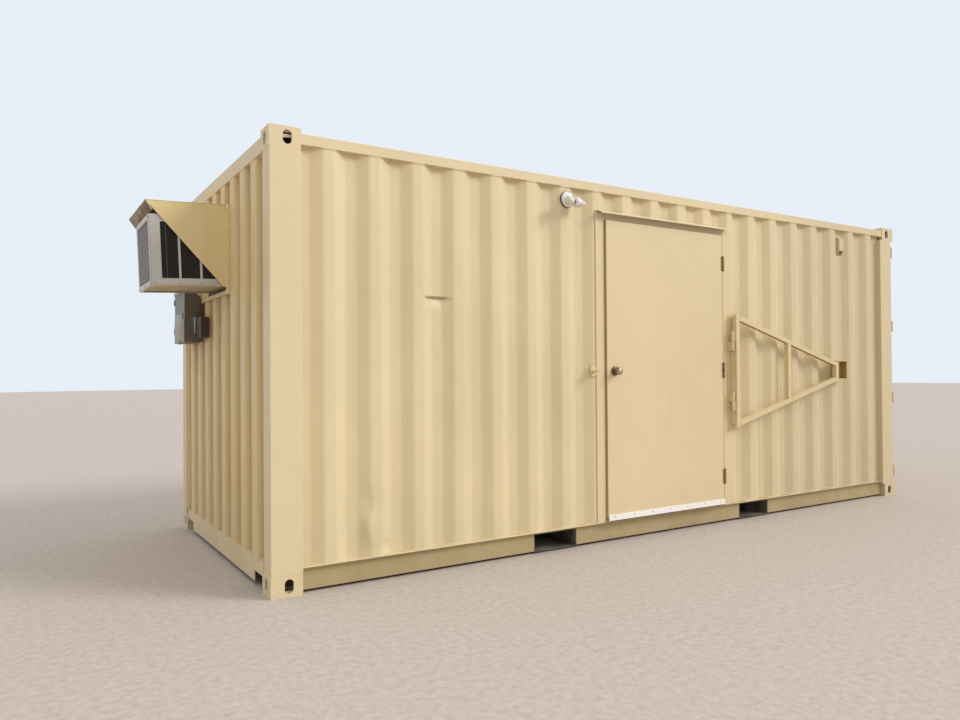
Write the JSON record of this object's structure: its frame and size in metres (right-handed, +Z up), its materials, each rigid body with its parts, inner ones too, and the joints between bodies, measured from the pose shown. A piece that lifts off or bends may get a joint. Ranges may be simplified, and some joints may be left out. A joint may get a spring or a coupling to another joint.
{
  "type": "shipping container cabin",
  "caption": "Corrugated steel freight container turned into a cabin: side door with knob, swinging security bar, hooded cooling unit, switch box and twin flood light.",
  "frame": {"origin": "on the ground plane, at the centre of the four bottom twist-lock sockets", "axes": "+X along the container towards its cargo doors, -Y towards the side with the personnel door, +Z up"},
  "size_m": [6.538, 2.5807, 2.591],
  "materials": {
    "cream_paint": "semi-gloss cream paint, weathered",
    "wall_paint": "semi-gloss cream paint on corrugated sheet",
    "door_paint": "satin cream paint",
    "bar_paint": "satin cream paint on steel tube",
    "hood_paint": "satin cream paint",
    "hardware_paint": "painted forged steel",
    "underside_steel": "dark protective coating",
    "plywood": "worn plywood",
    "galvanised_steel": "zinc coated",
    "bare_aluminium": "mill finish",
    "hinge_steel": "dulled",
    "bronze": "dark bronze plating",
    "unit_enamel": "light grey enamel",
    "coil_fins": "dark finned coil",
    "switch_enamel": "grey enamel",
    "handle_metal": "bare",
    "dark_box": "dark weathered enamel",
    "light_white": "white powder coat"
  },
  "bodies": {
    "cabin": {"bottom_castings": "cream_paint", "top_castings": "cream_paint", "front_posts": "cream_paint", "rear_posts": "cream_paint", "bottom_side_rails": "cream_paint", "top_side_rails": "cream_paint", "front_sill": "cream_paint", "front_header": "cream_paint", "rear_sill": "cream_paint", "rear_header": "cream_paint", "near_wall_left": "wall_paint", "near_wall_right": "wall_paint", "near_wall_over_door": "wall_paint", "far_wall": "wall_paint", "front_wall": "wall_paint", "roof_panel": "wall_paint", "roof_end_plates": "cream_paint", "floor_deck": "plywood", "cross_members": "underside_steel", "fork_pockets": "underside_steel", "cargo_door_left": "wall_paint", "cargo_door_right": "wall_paint", "cargo_hinges": "hardware_paint", "lock_rods": "galvanised_steel", "lock_gear": "hardware_paint", "door_frame": "door_paint", "drip_cap": "door_paint", "frame_hinges": "hinge_steel", "bar_mount": "bar_paint", "lock_staple": "bar_paint", "unit_hood": "hood_paint", "unit_frame": "hood_paint", "unit_body": "unit_enamel", "unit_grilles": "coil_fins", "unit_tray": "unit_enamel", "switch_box": "switch_enamel", "junction_box": "dark_box", "light_canopy": "light_white", "wall_vents": "wall_paint"},
    "personnel_door": {"door_leaf": "door_paint", "door_sweep": "bare_aluminium", "door_hinges": "hinge_steel", "knob_rose": "bronze"},
    "door_knob": {"door_knob": "bronze"},
    "security_bar": {"bar_frame": "bar_paint", "bar_lock_box": "bar_paint"},
    "switch_lever": {"switch_handle": "handle_metal"},
    "left_lamp": {"lamp_left": "light_white"},
    "right_lamp": {"lamp_right": "light_white"}
  },
  "joints": [
    {"name": "door_swing", "type": "hinge", "parent": "cabin", "child": "personnel_door", "pos_m": [0.5645, -1.243, 1.226], "axis": [0, 0, 1], "range_deg": [0, 135]},
    {"name": "knob_turn", "type": "hinge", "parent": "personnel_door", "child": "door_knob", "pos_m": [-0.582, -1.249, 1.226], "axis": [0, 1, 0], "range_deg": [0, 60], "stiffness_Nm_per_rad": 0.6, "springref_deg": -20.05},
    {"name": "bar_swing", "type": "hinge", "parent": "cabin", "child": "security_bar", "pos_m": [0.645, -1.262, 1.213], "axis": [0, 0, 1], "range_deg": [-180, 0]},
    {"name": "switch_turn", "type": "hinge", "parent": "cabin", "child": "switch_lever", "pos_m": [-3.074, 0.524, 1.632], "axis": [0, 1, 0], "range_deg": [0, 130]},
    {"name": "left_lamp_tilt", "type": "hinge", "parent": "cabin", "child": "left_lamp", "pos_m": [-1.014, -1.277, 2.388], "axis": [-0.866, 0.5, 0], "range_deg": [-30, 30]},
    {"name": "right_lamp_tilt", "type": "hinge", "parent": "cabin", "child": "right_lamp", "pos_m": [-0.977, -1.277, 2.388], "axis": [-0.2079, -0.9781, 0], "range_deg": [-30, 30]}
  ]
}
